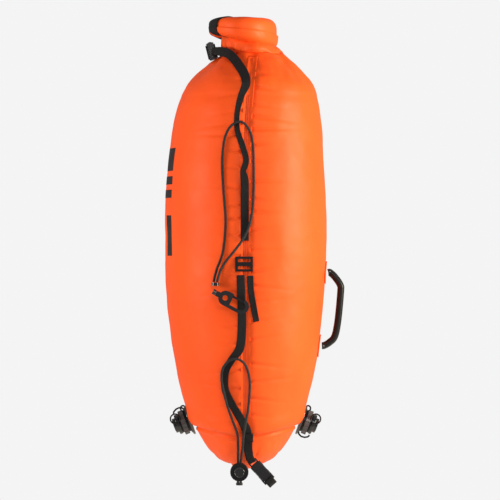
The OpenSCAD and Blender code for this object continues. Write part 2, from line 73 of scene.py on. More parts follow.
# ---- camera: level, long lens, looking at the near side seam ---------------
FRAME_WIDTH = 0.75
DISTANCE = 6.0
CENTRE = Vector((0.0067, 0, (CAD_LO.z + CAD_HI.z) / 2 + 0.001))
cam = bpy.data.objects.new("camera", bpy.data.cameras.new("camera"))
bpy.context.scene.collection.objects.link(cam)
cam.location = CENTRE + Vector((0, -DISTANCE, 0))
cam.rotation_euler = (math.radians(90), 0, 0)
cam.data.sensor_width = 36
cam.data.lens = 36 * DISTANCE / FRAME_WIDTH
cam.data.clip_end = 50
bpy.context.scene.camera = cam

# ---- driving dimensions, mm --------------------------------------------------
BODY_T, BODY_W, BODY_H = 242, 300, 615
NECK_Z, NECK_T, NECK_W, LEAN = -48, 88, 160, 12
TIP_T, TIP_W = 44, 126
TIP_Z = NECK_Z - BODY_H
BELLY, SHOULDER, SQ = 0.41, 0.10, 2.2
WEB_W, WEB_T, CORD_D = 14, 1.4, 3.8


def clamp(v):
    return max(0.0, min(1.0, v))


def ease(v):
    v = clamp(v)
    return v * v * (3 - 2 * v)


def down(z):
    return (NECK_Z - z) / BODY_H


def profile(u, full, k, neck, tip, q):
    if u > BELLY:
        s = clamp((u - BELLY) / (1 - BELLY))
        return tip / 2 + (full - tip) / 2 * (1 - s**2.4) ** q
    if u > SHOULDER:
        return full / 2 * (1 - k * ((BELLY - u) / (BELLY - SHOULDER)) ** 2)
    s = clamp((SHOULDER - u) / SHOULDER)
    return neck / 2 + ((1 - k) * full / 2 - neck / 2) * (1 - s**1.4)


def half_t(z):
    return profile(down(z), BODY_T, 0.145, NECK_T, TIP_T, 0.526)


def half_w(z):
    return profile(down(z), BODY_W, 0.12, NECK_W, TIP_W, 0.6)


def lean(z):
    return LEAN * clamp((BELLY - down(z)) / BELLY) ** 3


def near_y(x, z):
    f = min(1, abs(x - lean(z)) / half_t(z))
    return half_w(z) * (1 - f**SQ) ** (1 / SQ)


def on(x, z, off):
    """A point on the near face that stands off the fabric."""
    return Vector((x, -(near_y(x, z) + off), z))


# ---- materials ---------------------------------------------------------------
class Nodes:
    """Short helper for building one procedural material."""

    def __init__(self, name):
        self.mat = bpy.data.materials.new(name)
        self.mat.use_nodes = True
        self.tree = self.mat.node_tree
        self.bsdf = self.tree.nodes["Principled BSDF"]
        coord = self.tree.nodes.new("ShaderNodeTexCoord")
        self.coord = coord.outputs["Object"]

    def node(self, kind, **values):
        n = self.tree.nodes.new(kind)
        for key, value in values.items():
            if key in n.inputs:
                n.inputs[key].default_value = value
            else:
                setattr(n, key, value)
        return n

    def link(self, a, b):
        self.tree.links.new(a, b)

    def set(self, **values):
        for key, value in values.items():
            self.bsdf.inputs[key.replace("_", " ")].default_value = value
        return self

    def noise(self, scale, detail=3.0):
        n = self.node("ShaderNodeTexNoise", Scale=scale, Detail=detail)
        self.link(self.coord, n.inputs["Vector"])
        return n.outputs["Fac"]

    def ramp(self, fac, a, b, lo=0.3, hi=0.7):
        n = self.node("ShaderNodeValToRGB")
        n.color_ramp.elements[0].position = lo
        n.color_ramp.elements[1].position = hi
        n.color_ramp.elements[0].color = a
        n.color_ramp.elements[1].color = b
        self.link(fac, n.inputs["Fac"])
        return n.outputs["Color"]

    def range(self, fac, lo, hi):
        n = self.node("ShaderNodeMapRange")
        n.inputs["To Min"].default_value = lo
        n.inputs["To Max"].default_value = hi
        self.link(fac, n.inputs["Value"])
        return n.outputs["Result"]

    def wave(self, scale, axis, distortion=0.0):
        n = self.node("ShaderNodeTexWave", Scale=scale, Distortion=distortion)
        n.bands_direction = axis
        self.link(self.coord, n.inputs["Vector"])
        return n.outputs["Fac"]

    def math(self, op, a, b):
        n = self.node("ShaderNodeMath", operation=op)
        for k, v in ((0, a), (1, b)):
            if isinstance(v, (int, float)):
                n.inputs[k].default_value = v
            else:
                self.link(v, n.inputs[k])
        return n.outputs[0]

    def bump(self, height, strength, distance):
        n = self.node("ShaderNodeBump", Strength=strength, Distance=distance)
        self.link(height, n.inputs["Height"])
        if self.bsdf.inputs["Normal"].is_linked:
            self.link(self.bsdf.inputs["Normal"].links[0].from_socket, n.inputs["Normal"])
        self.link(n.outputs["Normal"], self.bsdf.inputs["Normal"])
        return self

    def colour(self, socket):
        self.link(socket, self.bsdf.inputs["Base Color"])
        return self

    def rough(self, fac, lo, hi):
        self.link(self.range(fac, lo, hi), self.bsdf.inputs["Roughness"])
        return self


def coated_fabric(name, dark, light):
    """Fine plain-woven nylon under a satin coating."""
    m = Nodes(name)
    m.set(Specular_IOR_Level=0.16)
    m.colour(m.ramp(m.noise(9, 4), dark, light))
    weave = m.math("MULTIPLY", m.wave(260, "Z"), m.wave(260, "DIAGONAL"))
    m.bump(weave, 0.25, 0.0002)
    m.bump(m.noise(55, 5), 0.3, 0.0008)
    m.rough(m.noise(30), 0.42, 0.58)
    return m.mat


def webbing(name, tint):
    """Black polyester webbing with cross ribs."""
    m = Nodes(name)
    m.set(Specular_IOR_Level=0.2)
    rib = m.wave(330, "Z", 0.6)
    m.colour(m.ramp(rib, tuple(c * 0.5 for c in tint[:3]) + (1,), tint, 0.2, 0.8))
    m.bump(rib, 0.6, 0.0005)
    m.bump(m.wave(500, "X"), 0.4, 0.0003)
    m.rough(m.noise(90), 0.6, 0.8)
    return m.mat


def braid(name):
    m = Nodes(name)
    m.set(Specular_IOR_Level=0.35)
    cross = m.math("MULTIPLY", m.wave(420, "DIAGONAL", 0.3), m.wave(360, "Z", 0.3))
    m.colour(m.ramp(cross, (0.006, 0.006, 0.007, 1), (0.035, 0.035, 0.04, 1), 0.1, 0.6))
    m.bump(cross, 0.7, 0.0006)
    m.rough(m.noise(120), 0.55, 0.75)
    return m.mat


def plastic(name, colour, lo, hi, coat=0.0, grain=600):
    """Moulded plastic: fine spark-eroded grain, faint flow marks."""
    m = Nodes(name)
    m.set(Coat_Weight=coat, Coat_Roughness=0.12, Specular_IOR_Level=0.18 + 0.5 * coat)
    lighter = tuple(min(1, c * 1.4 + 0.001) for c in colour[:3]) + (1,)
    m.colour(m.ramp(m.noise(40), colour, lighter))
    m.bump(m.noise(grain, 2), 0.18, 0.0002)
    m.rough(m.noise(70), lo, hi)
    return m.mat


def metal(name):
    m = Nodes(name)
    m.set(Metallic=1.0)
    m.colour(m.ramp(m.noise(200), (0.35, 0.35, 0.37, 1), (0.6, 0.6, 0.62, 1)))
    m.bump(m.wave(900, "Z", 1.5), 0.1, 0.0001)
    m.rough(m.noise(300), 0.2, 0.35)
    return m.mat


ORANGE = coated_fabric("orange_coated_fabric", (0.86, 0.08, 0.009, 1), (0.92, 0.098, 0.012, 1))
LINER = coated_fabric("liner_fabric", (0.7, 0.07, 0.012, 1), (0.78, 0.085, 0.015, 1))
PATCH = coated_fabric("patch_fabric", (0.8, 0.075, 0.009, 1), (0.88, 0.09, 0.012, 1))
WEBBING = webbing("black_webbing", (0.011, 0.011, 0.013, 1))
THREAD = webbing("black_thread", (0.03, 0.03, 0.033, 1))
CORD = braid("black_cord")
BLACK = plastic("black_plastic", (0.006, 0.006, 0.007, 1), 0.28, 0.42)
GLOSS = plastic("gloss_black", (0.008, 0.008, 0.01, 1), 0.16, 0.28, 0.4, 300)
GREY = plastic("grey_plastic", (0.045, 0.045, 0.048, 1), 0.25, 0.4, 0.3)
RUBBER = plastic("black_rubber", (0.006, 0.006, 0.0065, 1), 0.3, 0.42, 0.0, 900)
FLANGE = plastic("flange_vinyl", (0.03, 0.018, 0.016, 1), 0.12, 0.25, 0.6, 200)
INK = plastic("dark_print_ink", (0.016, 0.012, 0.013, 1), 0.5, 0.65, 0.0, 500)
STEEL = metal("spring_steel")
SLOT_LOOK = {
    "orange_fabric": ORANGE,
    "inner_fabric": LINER,
    "black_webbing": WEBBING,
    "black_cord": CORD,
    "black_plastic": BLACK,
    "gloss_black": GLOSS,
    "grey_plastic": GREY,
    "clear_flange": FLANGE,
    "black_rubber": RUBBER,
    "spring_steel": STEEL,
}
for part in frame["record"]["subparts"]:
    cad = frame["nodes"][part["node"]]
    cad.data.materials.clear()
    cad.data.materials.append(SLOT_LOOK[part["material_slot"]])


# ---- mesh helpers --------------------------------------------------------------
def piece(name, verts, faces, material, slot_name, body=BAG, smooth=True):
    """A named mesh piece from millimetre points, riding on a body."""
    mesh = bpy.data.meshes.new(name)
    mesh.from_pydata([Vector(v) * MM for v in verts], [], faces)
    bm = bmesh.new()
    bm.from_mesh(mesh)
    bmesh.ops.remove_doubles(bm, verts=bm.verts, dist=1e-6)
    bmesh.ops.recalc_face_normals(bm, faces=bm.faces)
    bm.to_mesh(mesh)
    bm.free()
    mesh.polygons.foreach_set("use_smooth", [smooth] * len(mesh.polygons))
    mesh.materials.append(material)
    obj = bpy.data.objects.new(name, mesh)
    bpy.context.scene.collection.objects.link(obj)
    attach(obj, body)
    return obj


def grid_faces(rows, cols, wrap=False):
    span = cols if wrap else cols - 1
    return [
        (i * cols + j, i * cols + (j + 1) % cols, (i + 1) * cols + (j + 1) % cols, (i + 1) * cols + j)
        for i in range(rows - 1)
        for j in range(span)
    ]


def loft(name, rings, material, slot_name, body=BAG):
    """Closed loft through rings of equal length, with flat ends."""
    n = len(rings[0])
    verts = [p for r in rings for p in r]
    faces = grid_faces(len(rings), n, True)
    faces += [tuple(range(n)), tuple((len(rings) - 1) * n + j for j in range(n))]
    return piece(name, verts, faces, material, slot_name, body)


def shell(name, rows, thickness, material, slot_name):
    """An open grid given thickness towards the inside."""
    obj = piece(name, [p for r in rows for p in r], grid_faces(len(rows), len(rows[0])), material, slot_name)
    solid = obj.modifiers.new("thickness", "SOLIDIFY")
    solid.thickness = thickness * MM
    solid.offset = -1
    return obj


def smooth_path(points, steps):
    """Catmull-Rom points through a route."""
    pts = [Vector(p) for p in points]
    out = []
    for i in range(len(pts) - 1):
        a, b, c, d = pts[max(0, i - 1)], pts[i], pts[i + 1], pts[min(len(pts) - 1, i + 2)]
        for k in range(steps):
            t = k / steps
            square = 2 * a - 5 * b + 4 * c - d
            cube = 3 * b - a - 3 * c + d
            out.append(0.5 * (2 * b + (c - a) * t + square * t**2 + cube * t**3))
    return out + [pts[-1]]


def tangents(path):
    last = len(path) - 1
    return [(path[min(last, i + 1)] - path[max(0, i - 1)]).normalized() for i in range(last + 1)]


def sweep(name, path, section, material, slot_name, up=Vector((0, -1, 0)), body=BAG):
    """Sweeps section(i) -> [(side, up), ...] along a path."""
    rings = []
    for i, (p, t) in enumerate(zip(path, tangents(path))):
        u = (up - t * up.dot(t)).normalized()
        s = t.cross(u)
        rings.append([p + s * a + u * b for a, b in section(i)])
    return loft(name, rings, material, slot_name, body)


def rounded(w, t, n=5):
    """Rounded strap section, width w, from 0 to t high."""
    r = t / 2
    turns = [math.pi * (k / n - 0.5) for k in range(n + 1)]
    right = [(w / 2 - r + r * math.cos(a), r + r * math.sin(a)) for a in turns]
    inner = [(w * (0.3 - 0.15 * k), t) for k in range(5)]
    left = [(-x, 2 * r - y) for x, y in right]
    return right + inner + left + [(-x, 0) for x, _ in inner]


# ---- cords --------------------------------------------------------------------------
CO = CORD_D / 2
# Route points on the near face: x, z and how far the cord stands off the fabric
UP_CORD = [(-46.5, -388, 7), (-42, -370, 4), (-33, -344, 1), (-29, -301, 0.6), (-32, -256, 0.6),
           (-34, -219, 0.6), (-33, -196, 1), (-30, -177, 2), (-23, -162, 4.4), (-12, -154, 5),
           (-2, -156, 4.8), (7, -169, 3),
           (11, -189, 2), (12, -219, 2), (12, -256, 2), (10, -285, 2.6), (5, -308, 4), (-4, -326, 4.4),
           (-14, -340, 4), (-27, -356, 5), (-36, -370, 6), (-41.5, -388, 7)]
LOW_CORD = [(-11, -630, 9.5), (-12, -612, 9), (-19, -592, 7.4), (-26, -572, 6.8), (-32, -549, 6.6),
            (-35, -531, 6.6), (-33, -515, 6.6), (-23, -503, 6.8), (-9, -502, 6.8), (1, -512, 6),
            (6, -531, 2), (6, -552, 2),
            (4, -575, 5.4), (0, -598, 8), (-3, -616, 9), (-4, -630, 9.5)]
LOCK_D = 26
lock_at = Vector((-9, -(half_w(-652) + 17), TIP_Z - 6))
LEG = CO + 0.15


def lock_leg(x, heights):
    return [Vector((lock_at.x + x, lock_at.y, lock_at.z + h)) for h in heights]


def cord_piece(name, points, cad_node):
    """Braided cord: a tube whose strands stand out slightly."""
    path = smooth_path(points, 8)
    n = 14

    def section(i):
        ring = []
        for j in range(n):
            b = 2 * math.pi * j / n
            r = CO * (0.97 + 0.04 * math.sin(i * 1.3 + b * 3))
            ring.append((r * math.cos(b), r * math.sin(b)))
        return ring

    obj = sweep(name, path, section, CORD, "black_cord", Vector((0, -1, 0.001)))
    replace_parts(obj, cad_node)


cord_piece("upper_cord_loop", [on(x, z, o + CO) for x, z, o in UP_CORD], "upper_cord")
reach = LOCK_D / 2 + 1.5
cord_piece("lower_cord_loop",
           lock_leg(-LEG, (-reach, -6, 6, reach)) + [on(x, z, o + CO) for x, z, o in LOW_CORD]
           + lock_leg(LEG, (reach, 6, -6, -reach)), "lower_cord")


# ---- the inflated fabric ---------------------------------------------------------
def fractal(x, y, z, size, seed=0):
    return noise.fractal(Vector((x / size + seed, y / size, z / size)), 1.0, 2.0, 3)


PUCKER_GAP = 27
puckers = []
place = -92
while place > -640:
    puckers.append((place, random.uniform(0.5, 1.0), random.uniform(20, 44), random.uniform(-0.16, 0.16)))
    place -= random.uniform(0.6, 1.3) * PUCKER_GAP


def seam_pucker(dist, z, flip):
    """Short sideways creases that the seam pulls into the inflated fabric."""
    total = 0
    for zc, power, reach, slope in puckers:
        dz = z - zc - flip * 9 - slope * dist
        if abs(dz) < 26:
            fade = clamp(dist / 7) * math.exp(-((dist / reach) ** 2))
            total += power * fade * (math.exp(-((dz / 2.6) ** 2)) * 5.0 - math.exp(-((dz / 9) ** 2)) * 1.7)
    return total


def crease_line(side, dist):
    """Height of the bottom crease where the inflated part ends."""
    return -621 + 0.19 * dist + (0.02 * dist if side > 0 else 0)


def relief(side, x, y, z):
    """How far the fabric stands from the smooth body, along its normal."""
    dist = abs(x - lean(z))
    away = ease(dist / 16)
    d = -3.2 * math.exp(-((dist / 8) ** 2)) * ease((z - TIP_Z) / 40)
    d -= seam_pucker(dist, z, 1 if side > 0 else 0)
    d += away * 1.5 * fractal(x, y, z, 95, 3 * side)
    d += away * 0.45 * fractal(x, y, z, 32, 5 * side)
    gap = z - crease_line(side, dist)
    groove = math.exp(-((gap / 2.4) ** 2))
    d += away * (-7.0 * groove + 4.0 * math.exp(-(((gap - 13) / 11) ** 2)) - 2.6 * ease(-gap / 8))
    tail = ease(-gap / 18)
    d += tail * 0.45 * math.sin(dist * 0.21 + fractal(x, y, z, 30) * 4)
    top = ease((z + 122) / 62)
    angle = math.atan2(y, x)
    fold = math.sin(angle * 7 + z * 0.035 + 2.2 * fractal(x, y, z, 60, 11))
    d += away * top * (2.3 * fold - 0.8)
    d -= 2.4 * math.exp(-(((z + 108) / 13) ** 2))
    d += away * top * 1.0 * fractal(x, y, z, 22, 17)
    return d


def normal_at(side, e, z):
    c, s = e
    t, w = half_t(z), half_w(z)
    n = Vector((side * c / t, s / w, 0))
    slope = (half_t(z - 3) - half_t(z + 3)) / 6
    n.normalize()
    n.z = clamp(abs(c)) * slope * 0.9
    return n.normalized()


def fabric_point(side, angle, z, off=0.0):
    """Angle -90 is the near seam and 90 the far one."""
    a = math.radians(angle)
    c = max(0.0, math.cos(a)) ** (2 / SQ)
    s = math.copysign(abs(math.sin(a)) ** (2 / SQ), math.sin(a))
    x, y = lean(z) + side * half_t(z) * c, half_w(z) * s
    n = normal_at(side, (max(0.0, math.cos(a)), math.sin(a)), z)
    return Vector((x, y, z)) + n * (relief(side, x, y, z) + off)


def angle_of(y, z):
    f = clamp(abs(y) / half_w(z)) ** (SQ / 2)
    return math.copysign(math.degrees(math.asin(f)), y)


LOBE_ROWS, LOBE_COLS = 300, 150


def lobe_rows(side):
    rows = []
    for i in range(LOBE_ROWS + 1):
        z = NECK_Z - BODY_H * 0.999 * i / LOBE_ROWS
        row = []
        for j in range(LOBE_COLS + 1):
            t = j / LOBE_COLS
            spread = t - 0.033 * math.sin(4 * math.pi * t)
            row.append(fabric_point(side, -90 + 180 * spread, z))
        rows.append(row)
    return rows


left_lobe = shell("left_lobe_fabric", lobe_rows(-1), 1.2, ORANGE, "orange_fabric")
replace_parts(left_lobe, "left_outer_panel")
right_lobe = shell("right_lobe_fabric", lobe_rows(1), 1.2, ORANGE, "orange_fabric")
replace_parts(right_lobe, "right_outer_panel")


def ellipse(hx, hy, c, n):
    out = []
    for j in range(n):
        a = 2 * math.pi * j / n
        x = c + hx * math.copysign(abs(math.cos(a)) ** (2 / SQ), math.cos(a))
        out.append((x, hy * math.copysign(abs(math.sin(a)) ** (2 / SQ), math.sin(a))))
    return out


def make_tail():
    """The welded tip that closes the bag, gathered a little."""
    rings = []
    for k in range(9):
        f = math.cos(math.radians(82 * k / 8))
        z = TIP_Z + 1.5 - 7 * math.sin(math.radians(82 * k / 8))
        ring = ellipse(max(1, (TIP_T / 2 - 1.2) * f), TIP_W / 2 * (0.12 + 0.88 * f) - 1.2, 0, 72)
        rings.append([(x + 0.8 * math.sin(y * 0.4) * f, y, z) for x, y in ring])
    return rings


tail = loft("welded_tail", make_tail(), ORANGE, "orange_fabric")
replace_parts(tail, "bottom_weld")


def tape_rows(far):
    rows = []
    side = 1 if far else -1
    for i in range(221):
        z = -54 - 604 * i / 220
        row = []
        for k in range(13):
            x = lean(z) - 7 + 14 * k / 12
            dip = 3.2 * math.exp(-(((x - lean(z)) / 8) ** 2)) * ease((z - TIP_Z) / 40)
            lift = 0.5 + 0.25 * math.sin(z * 0.31) - max(0, seam_pucker(abs(x - lean(z)), z, 0.5)) * 0.5
            row.append((x, side * (near_y(x, z) - dip + max(0.2, 0.5 * lift) + 0.15), z))
        rows.append(row)
    return rows


for tape_name, far in (("near_seam_tape", False), ("far_seam_tape", True)):
    tape = shell(tape_name + "_fabric", tape_rows(far), 0.5, ORANGE, "orange_fabric")
    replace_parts(tape, tape_name)

# ---- neck and roll ---------------------------------------------------------------
RING_X, RING_Y, RING_C = NECK_T / 2 - 11, NECK_W / 2 - 10, -4
ROLL_HALF = 20


def roll_under(x):
    return -30 - 0.22 * (x - RING_C)


def roll_sag(x):
    """The soft underside of the roll hangs lower on the right."""
    return -33 - 0.36 * (x - RING_C)


def make_collar():
    """Gathered fabric between the shoulders and the roll."""
    n, steps = 240, 22
    rings = []
    for k in range(steps + 1):
        t = k / steps
        shrink = 7 * t**2
        base = ellipse(NECK_T / 2 - shrink * 0.8 + 0.3, NECK_W / 2 - shrink + 0.3, LEAN * (1 - 0.55 * t), n)
        ring = []
        for x, y in base:
            a = math.atan2(y, x - LEAN)
            fold = math.sin(a * 13 + 3 * math.sin(a * 3)) * (0.5 + 3.84 * t * (1 - t))
            fold += 1.6 * fractal(x, y, 30 * t, 18, 9)
            z = (1 - t) * (NECK_Z - 1.5) + t * (roll_under(x) + 5)
            bulge = 3.2 * math.sin(math.pi * t)
            k2 = 1 + (fold + bulge) / 62
            ring.append((LEAN + (x - LEAN) * k2, y * k2, z))
        rings.append(ring)
    top = rings[-1]
    for f, dz in ((0.8, 1.5), (0.55, 2.4), (0.25, 1.6)):
        rings.append([(LEAN * 0.3 + (x - LEAN * 0.3) * f, y * f, z + dz) for x, y, z in top])
    return rings


collar = loft("gathered_neck", make_collar(), ORANGE, "orange_fabric")
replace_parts(collar, "neck_collar")


def roll_centre(a):
    x = RING_C + RING_X * math.cos(a)
    return Vector((x, RING_Y * math.sin(a), (6 + roll_sag(x)) / 2))


ROLL_END = math.radians(158)


def roll_section(a, around=96, over=0.0, shrink=1.0, proud=0.0, rough=1.0):
    """One closed section of the roll: a rounded block with its layers and folds."""
    c = roll_centre(a)
    d = Vector((-RING_X * math.sin(a), RING_Y * math.cos(a), 0)).normalized()
    s = Vector((d.y, -d.x, 0))
    c = c + d * over
    h = (6 - roll_sag(c.x)) / 2
    ring = []
    for j in range(around):
        b = 2 * math.pi * j / around
        square = (abs(math.cos(b)) ** 3 + abs(math.sin(b)) ** 3) ** (-1 / 3)
        layer = (b / (2 * math.pi) - 0.5) * 2.0
        diagonal = math.sin(a * 4 + b * 1.5 + 2.2 * fractal(c.x, c.y, b * 12, 50, 4))
        crease = math.exp(-((diagonal + 0.9) ** 2) / 0.02)
        bump = -0.9 * crease + 1.1 * fractal(c.x, c.y + 30 * math.cos(b), b * 10, 70, 8) + layer - 1.0
        seam = -2.6 * math.exp(-(((b - 3.9) / 0.09) ** 2)) - 1.4 * math.exp(-(((b - 3.45) / 0.07) ** 2))
        r = (square + rough * (bump + seam) / ROLL_HALF) * shrink + proud / ROLL_HALF
        ring.append(c + s * (ROLL_HALF * r * math.cos(b)) + Vector((0, 0, h * min(r, 1.02) * math.sin(b))))
    return ring


def make_roll():
    """The mouth rolled down in several turns and bent round."""
    along = 200
    rings = []
    for i in range(-8, along + 9):
        k = max(0, min(along, i))
        over = (i if i < 0 else i - along) if (i < 0 or i > along) else 0
        shrink = math.sqrt(max(0.04, 1 - (abs(over) / 8) ** 2.4))
        rings.append(roll_section(-ROLL_END + 2 * ROLL_END * k / along, 96, over * 0.7, shrink))
    return rings


roll = loft("rolled_mouth", make_roll(), ORANGE, "orange_fabric")
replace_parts(roll, "roll_top")


def mouth_band(name, sign, cad_node):
    """Stiff webbing that wraps each end of the roll."""
    steps = 14
    arc = math.radians(28)
    rows = []
    for k in range(steps + 1):
        a = sign * (ROLL_END - arc * k / steps)
        rows.append(roll_section(a, proud=1.3, rough=0.35))
    verts = [q for row in rows for q in row]
    band = piece(name, verts, grid_faces(len(rows), len(rows[0]), True), WEBBING, "black_webbing")
    solid = band.modifiers.new("thickness", "SOLIDIFY")
    solid.thickness = WEB_T * MM
    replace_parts(band, cad_node)


mouth_band("near_mouth_band", -1, "near_mouth_webbing")
mouth_band("far_mouth_band", 1, "far_mouth_webbing")


def stitch_rows(name, starts, step, count, body=BAG):
    """Rows of thread stitches: short raised capsules."""
    verts, faces = [], []
    for p0, along_v, up in starts:
        along_v, up = Vector(along_v).normalized(), Vector(up).normalized()
        side = along_v.cross(up)
        for i in range(count):
            c = Vector(p0) + along_v * step * i
            base = len(verts)
            ring_n = 6
            for f, w in ((-0.36, 0.12), (-0.2, 0.34), (0.2, 0.34), (0.36, 0.12)):
                for j in range(ring_n):
                    b = 2 * math.pi * j / ring_n
                    verts.append(c + along_v * step * f + (side * math.cos(b) + up * math.sin(b)) * w)
            for k in range(3):
                for j in range(ring_n):
                    q = base + k * ring_n
                    faces.append((q + j, q + (j + 1) % ring_n, q + ring_n + (j + 1) % ring_n, q + ring_n + j))
            faces.append(tuple(base + j for j in range(ring_n)))
            faces.append(tuple(base + 3 * ring_n + j for j in range(ring_n)))
    return piece(name, verts, faces, THREAD, "black_webbing", body)


# ---- webbing -----------------------------------------------------------------------
# The first list is x, y, z and width in the open; the others are x, z, stand-off and width
UPPER_WEB = [(-49, -25.5, -44, 9), (-44, -40, -45, 12), (-35, -60, -47, 14), (-25, -78, -51, 14)]
UPPER_ON = [(-16, -60, 4, 14), (-9, -70, 3, 14), (-2, -82, 3, 14), (1, -97, 3, 13), (-6, -115, 3, 10),
            (-12, -140, 3, 8), (-12, -165, 3, 8), (-4, -190, 3, 9), (1, -210, 3, 9), (-3, -226, 3, 9),
            (-1, -242, 3, 12), (-1, -285, 2.4, 12), (-1, -328, 1.8, 12)]
LOWER_ON = [(-7, -378, 3, 12), (-6, -412, 2.6, 12), (-5, -450, 2.6, 13), (-8, -484, 2.6, 13),
            (-20, -502, 3, 11), (-29, -519, 3, 11), (-30, -545, 3, 11), (-20, -568, 3, 11),
            (-8, -588, 3, 12), (1, -606, 3, 14), (3, -622, 3, 14), (4, -636, 4, 13),
            (6, -647, 8.2, 12), (9, -653, 14.2, 12), (10.5, -656, 18.1, 12)]
LOOSE_ON = [(7, -379, 2, 9), (8, -400, 2.6, 9), (12, -424, 3, 9), (16, -446, 3, 9)]


def strap(name, points, widths, cad_node):
    """Webbing along a route, its edges curling a little where it narrows."""
    steps = 8
    path = smooth_path(points, steps)
    last = len(widths) - 1

    def section(i):
        k, f = min(last, i // steps), (i % steps) / steps
        w = widths[k] + (widths[min(last, k + 1)] - widths[k]) * ease(f)
        curl = max(0, (WEB_W - w)) * 0.06
        return [(x, y + curl * (2 * x / w) ** 2) for x, y in rounded(w, WEB_T)]

    obj = sweep(name, path, section, WEBBING, "black_webbing")
    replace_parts(obj, cad_node)


strap("upper_belt_webbing", [p[:3] for p in UPPER_WEB] + [on(*p[:3]) for p in UPPER_ON],
      [p[3] for p in UPPER_WEB + UPPER_ON], "upper_webbing")
strap("lower_belt_webbing", [on(*p[:3]) for p in LOWER_ON], [p[3] for p in LOWER_ON], "lower_webbing")
strap("loose_belt_end", [on(*p[:3]) for p in LOOSE_ON], [p[3] for p in LOOSE_ON], "loose_webbing_end")
tab_route = [on(3.5, z, off) for z, off in ((-612, 5.4), (-618, 5.4), (-624, 5.6))]
strap("folded_stitched_tab", tab_route, [16, 16, 16], "stitched_tab")
tab_down = (tab_route[2] - tab_route[0]).normalized()
tab_out = Vector((1, 0, 0)).cross(tab_down) * -1
tab_out = tab_out if tab_out.y < 0 else -tab_out
first_stitch = tab_route[1] + Vector((-5.4, 0, 0)) + tab_out * 1.5
stitch_starts = [(first_stitch + tab_down * k, (1, 0, 0), tab_out) for k in (-3.6, 3.2)]
stitch_rows("tab_stitches", stitch_starts, 1.9, 7)

# ---- handle -------------------------------------------------------------------------
HAND_Z, HAND_H, HAND_R = -430, 110, 24
GRIP_T, GRIP_W, GRIP_STEPS = 10.5, 22, 12
top_z = HAND_Z + HAND_H / 2
low_z = HAND_Z - HAND_H / 2
top_x = half_t(top_z) + lean(top_z)
low_x = half_t(low_z)
# Shares of the handle's reach and of its height
BOW = [(0.58, 0.06), (0.92, 0.17), (0.95, 0.27), (0.78, 0.66), (0.58, 0.87), (0.27, 0.95)]
grip_route = [(top_x + 4.4, 0, top_z), (top_x + 7, 0, top_z - 0.2)]
grip_route += [(top_x + out * HAND_R, 0, top_z - drop * HAND_H) for out, drop in BOW]
grip_route += [(low_x + 8, 0, low_z + 0.5), (low_x + 4.5, 0, low_z)]
grip_path = smooth_path(grip_route, GRIP_STEPS)


def grip_section(i):
    """Rounded bar, flared at its feet."""
    k = min(i, len(grip_path) - 1 - i) / GRIP_STEPS
    flare = 1 + 0.35 * max(0, 1 - k)
    out = []
    for j in range(40):
        b = 2 * math.pi * j / 40
        u = flare * GRIP_W / 2 * math.copysign(abs(math.sin(b)) ** 0.75, math.sin(b))
        s = GRIP_T / 2 * math.copysign(abs(math.cos(b)) ** 0.75, math.cos(b))
        out.append((s, u))
    return out


grip = sweep("moulded_grip", grip_path, grip_section, RUBBER, "black_rubber", Vector((0, 1, 0)))
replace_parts(grip, "handle_grip")
TAB_HALF_W, TAB_HALF_H = 26, 17


def foot_patch(name, zc, cad_node):
    """Welded tab over the fabric under a handle foot, with a raised rim."""
    rows = []
    n, m = 24, 16
    for i in range(-n, n + 1):
        z = zc + TAB_HALF_H * math.sin(math.radians(90 * i / n))
        w = TAB_HALF_W * max(0.25, math.cos(math.radians(90 * i / n * 0.86)))
        row = []
        for k in range(-m, m + 1):
            edge = max(abs(i) / n, abs(k) / m)
            rim = 0.5 * math.exp(-(((edge - 0.88) / 0.06) ** 2))
            row.append(fabric_point(1, angle_of(w * k / m, z), z, 1.5 + rim))
        rows.append(row)
    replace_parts(shell(name, rows, 1.2, PATCH, "orange_fabric"), cad_node)


foot_patch("handle_top_tab", top_z, "handle_top_patch")
foot_patch("handle_bottom_tab", low_z, "handle_bottom_patch")


# ---- webbing loops on the buckle plugs ---------------------------------------------------
def plug_loop(name, place, width, thick, length, body, cad_node):
    """A strap end folded round the plug's crossbar."""
    t = thick / 2
    front = [(t + 0.4, 4.8), (t + 0.7, 9), (t + 0.2, 13), (t * 0.5, 15.2)]
    fold = front + [(0, 15.8)] + [(-y, z) for y, z in reversed(front)]
    path = smooth_path([place @ Vector((0, y, length + z)) for y, z in fold], 4)
    centre = place @ Vector((0, 0, length + 8))
    side = (place.to_3x3() @ Vector((1, 0, 0))).normalized()
    rings = []
    for p, t_dir in zip(path, tangents(path)):
        u = side.cross(t_dir).normalized()
        u = u if u.dot(p - centre) > 0 else -u
        rings.append([p + side * a + u * b for a, b in rounded(width, 1.2)])
    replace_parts(loft(name, rings, WEBBING, "black_webbing", body), cad_node)


roll_place = (Matrix.Translation((-51, -16, -43)) @ Matrix.Rotation(math.radians(-90), 4, "X")
              @ Matrix.Rotation(math.radians(76), 4, "Z"))
waist_place = (Matrix.Translation((14, on(1, -650, 7).y, TIP_Z + 5))
               @ Matrix.Rotation(math.radians(138), 4, "Y"))
plug_loop("roll_plug_strap_loop", roll_place, 21.4, 11, 28, "roll_plug", "roll_plug_loop")
plug_loop("waist_plug_strap_loop", waist_place, 13.4, 9, 24, "waist_plug", "waist_plug_loop")

# ---- generic print --------------------------------------------------------------------
BARS = [(-190, 34, -70, -20), (-232, 12, -70, 10), (-252, 12, -70, -10), (-290, 60, -70, -46)]


def make_print():
    verts, faces = [], []
    for z0, h, y1, y2 in BARS:
        rows = max(3, int(h / 2.5))
        base = len(verts)
        for i in range(rows + 1):
            z = z0 - h * i / rows
            verts += [fabric_point(-1, angle_of(y1 + (y2 - y1) * j / 20, z), z, 0.25) for j in range(21)]
        faces += [tuple(base + q for q in f) for f in grid_faces(rows + 1, 21)]
    return verts, faces


